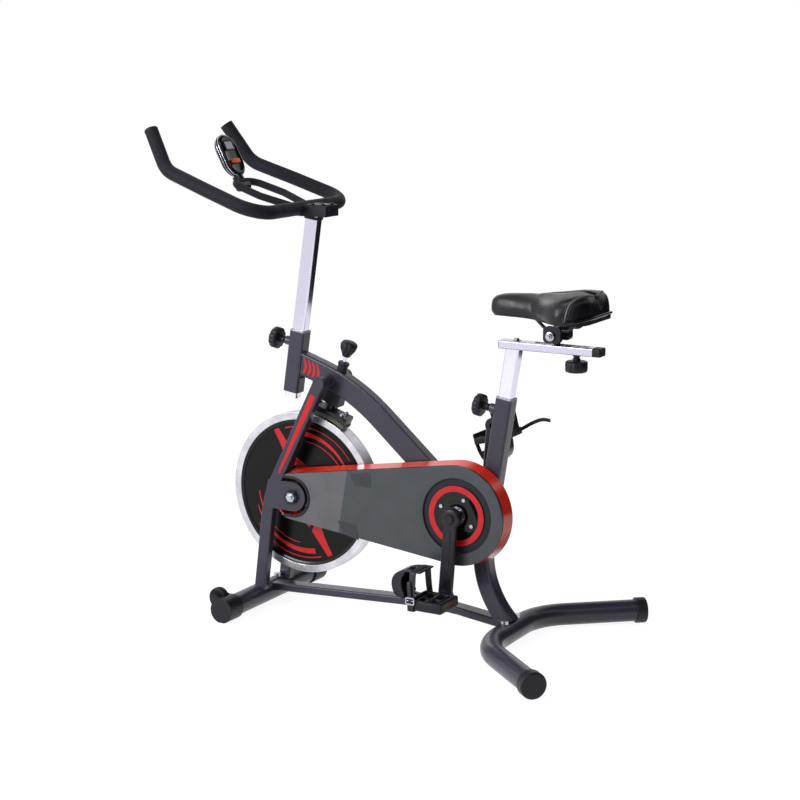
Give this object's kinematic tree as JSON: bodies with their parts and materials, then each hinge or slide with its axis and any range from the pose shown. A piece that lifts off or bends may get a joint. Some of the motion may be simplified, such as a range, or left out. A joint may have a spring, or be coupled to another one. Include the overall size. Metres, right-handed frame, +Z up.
{
  "type": "indoor spin bike",
  "caption": "Indoor cycling trainer with a belt driven flywheel, friction brake, sliding saddle, height-set posts and horned handlebar.",
  "frame": {"origin": "middle of the footprint, on the floor", "axes": "+X towards the back of the bike, the rider faces -X, +Y to the side away from the belt cover, +Z up"},
  "size_m": [1.03, 0.5977, 1.0737],
  "materials": {
    "frame_paint": "semi-gloss charcoal powder coat",
    "black_plastic": "black moulded plastic",
    "zinc_steel": "zinc plated",
    "chrome": "bright chrome",
    "satin_steel": "satin",
    "cover_grey": "charcoal grey, satin",
    "cover_red": "glossy red",
    "rubber": "matte black",
    "flywheel_iron": "bright machined rim, black painted face",
    "black_metal": "black enamel",
    "foam_grip": "fine foam, matte",
    "felt": "pressed felt",
    "saddle_vinyl": "black vinyl cover",
    "red_button": "orange-red moulded"
  },
  "bodies": {
    "frame": {"head_tube": "frame_paint", "main_tube": "frame_paint", "seat_tube": "frame_paint", "bottom_rail": "frame_paint", "bottom_bracket_shell": "frame_paint", "fork_leg_left": "frame_paint", "fork_leg_right": "frame_paint", "fork_stubs": "frame_paint", "front_stabilizer": "frame_paint", "rear_stabilizer": "frame_paint", "front_end_caps": "black_plastic", "rear_end_caps": "black_plastic", "frame_fasteners": "zinc_steel", "post_bushes": "black_plastic", "belt_cover_back": "cover_red", "belt_cover_face": "cover_grey", "cover_hub_plate": "black_plastic", "brake_guide": "frame_paint", "crank_bearings": "zinc_steel", "flywheel_axle": "zinc_steel", "drive_belt": "rubber"},
    "flywheel": {"flywheel": "flywheel_iron", "flywheel_pulley": "black_metal", "flywheel_bearings": "zinc_steel"},
    "crank": {"crank_axle": "zinc_steel", "crank_arm_left": "black_metal", "crank_arm_right": "black_metal", "crank_pulley": "black_metal", "crank_bolts": "zinc_steel", "pedal_spindles": "zinc_steel"},
    "pedal_left": {"pedal_left": "black_plastic", "toe_cage_left": "black_plastic", "toe_strap_left": "black_plastic"},
    "pedal_right": {"pedal_right": "black_plastic", "toe_cage_right": "black_plastic", "toe_strap_right": "black_plastic"},
    "brake_nut": {"brake_nut": "zinc_steel"},
    "brake_shoe": {"brake_shoe": "black_metal", "felt_pad": "felt"},
    "brake_screw": {"brake_rod": "chrome", "brake_knob": "black_plastic"},
    "handlebar": {"handlebar_post": "chrome", "stem_clamp": "black_metal", "handlebar": "foam_grip", "inner_bar": "black_metal", "console": "black_plastic"},
    "console_button": {"console_button": "red_button"},
    "head_knob": {"head_knob": "black_plastic"},
    "seat": {"seat_post": "chrome", "slide_bar": "satin_steel", "bar_end_caps": "black_plastic"},
    "seat_knob": {"seat_knob": "black_plastic"},
    "carriage": {"saddle_carriage": "black_metal"},
    "slide_knob": {"slide_knob": "black_plastic"},
    "saddle": {"saddle_clamp": "black_metal", "saddle_rails": "zinc_steel", "saddle_base": "black_plastic", "saddle_pad": "saddle_vinyl"},
    "transport_wheel_left": {"transport_wheel_left": "rubber"},
    "transport_wheel_right": {"transport_wheel_right": "rubber"}
  },
  "joints": [
    {"name": "flywheel_spin", "type": "hinge", "parent": "frame", "child": "flywheel", "pos_m": [-0.2023, 0, 0.2685], "axis": [0, 1, 0], "continuous": true},
    {"name": "crank_spin", "type": "hinge", "parent": "frame", "child": "crank", "pos_m": [0.2077, 0, 0.279], "axis": [0, 1, 0], "continuous": true},
    {"name": "pedal_left_spin", "type": "hinge", "parent": "crank", "child": "pedal_left", "pos_m": [0.19466, -0.142, 0.1095], "axis": [0, 1, 0], "continuous": true},
    {"name": "pedal_right_spin", "type": "hinge", "parent": "crank", "child": "pedal_right", "pos_m": [0.22074, 0.142, 0.4485], "axis": [0, 1, 0], "continuous": true},
    {"name": "brake_push", "type": "slide", "parent": "frame", "child": "brake_nut", "axis": [-0.3156, 0, -0.9489], "range_m": [0, 0.0015], "stiffness_N_per_m": 8000, "springref_m": -0.001},
    {"name": "brake_feed", "type": "slide", "parent": "brake_nut", "child": "brake_shoe", "axis": [-0.3156, 0, -0.9489], "range_m": [0, 0.00125]},
    {"name": "brake_turn", "type": "hinge", "parent": "brake_shoe", "child": "brake_screw", "pos_m": [-0.2023, 0, 0.2685], "axis": [0.3156, 0, 0.9489], "range_deg": [-360, 0]},
    {"name": "handlebar_height", "type": "slide", "parent": "frame", "child": "handlebar", "axis": [0.1461, 0, 0.9893], "range_m": [0, 0.08]},
    {"name": "console_button_press", "type": "slide", "parent": "handlebar", "child": "console_button", "axis": [-0.8829, 0, -0.4695], "range_m": [0, 0.0015], "stiffness_N_per_m": 400, "springref_m": -0.001},
    {"name": "head_pin_pull", "type": "slide", "parent": "frame", "child": "head_knob", "axis": [-0.9893, 0, 0.1461], "range_m": [0, 0.01], "stiffness_N_per_m": 800, "springref_m": -0.004},
    {"name": "seat_height", "type": "slide", "parent": "frame", "child": "seat", "axis": [0.1526, 0, 0.9883], "range_m": [-0.09, 0.1]},
    {"name": "seat_pin_pull", "type": "slide", "parent": "frame", "child": "seat_knob", "axis": [-0.9883, 0, 0.1526], "range_m": [0, 0.01], "stiffness_N_per_m": 800, "springref_m": -0.004},
    {"name": "saddle_slide", "type": "slide", "parent": "seat", "child": "carriage", "axis": [1, 0, 0], "range_m": [-0.04, 0.02]},
    {"name": "slide_knob_turn", "type": "hinge", "parent": "carriage", "child": "slide_knob", "pos_m": [0.4487, 0, 0.634], "axis": [0, 0, 1], "range_deg": [0, 270]},
    {"name": "saddle_tilt", "type": "hinge", "parent": "carriage", "child": "saddle", "pos_m": [0.4047, 0, 0.672], "axis": [0, 1, 0], "range_deg": [-10, 10]},
    {"name": "transport_wheel_left_spin", "type": "hinge", "parent": "frame", "child": "transport_wheel_left", "pos_m": [-0.3273, -0.167, 0.0482], "axis": [0, 1, 0], "continuous": true},
    {"name": "transport_wheel_right_spin", "type": "hinge", "parent": "frame", "child": "transport_wheel_right", "pos_m": [-0.3273, 0.167, 0.0482], "axis": [0, 1, 0], "continuous": true}
  ],
  "couplings": [
    {"joint": "crank_spin", "follows": "flywheel_spin", "ratio": 0.31818},
    {"joint": "brake_turn", "follows": "brake_feed", "rad_per_m": -5026.5}
  ]
}
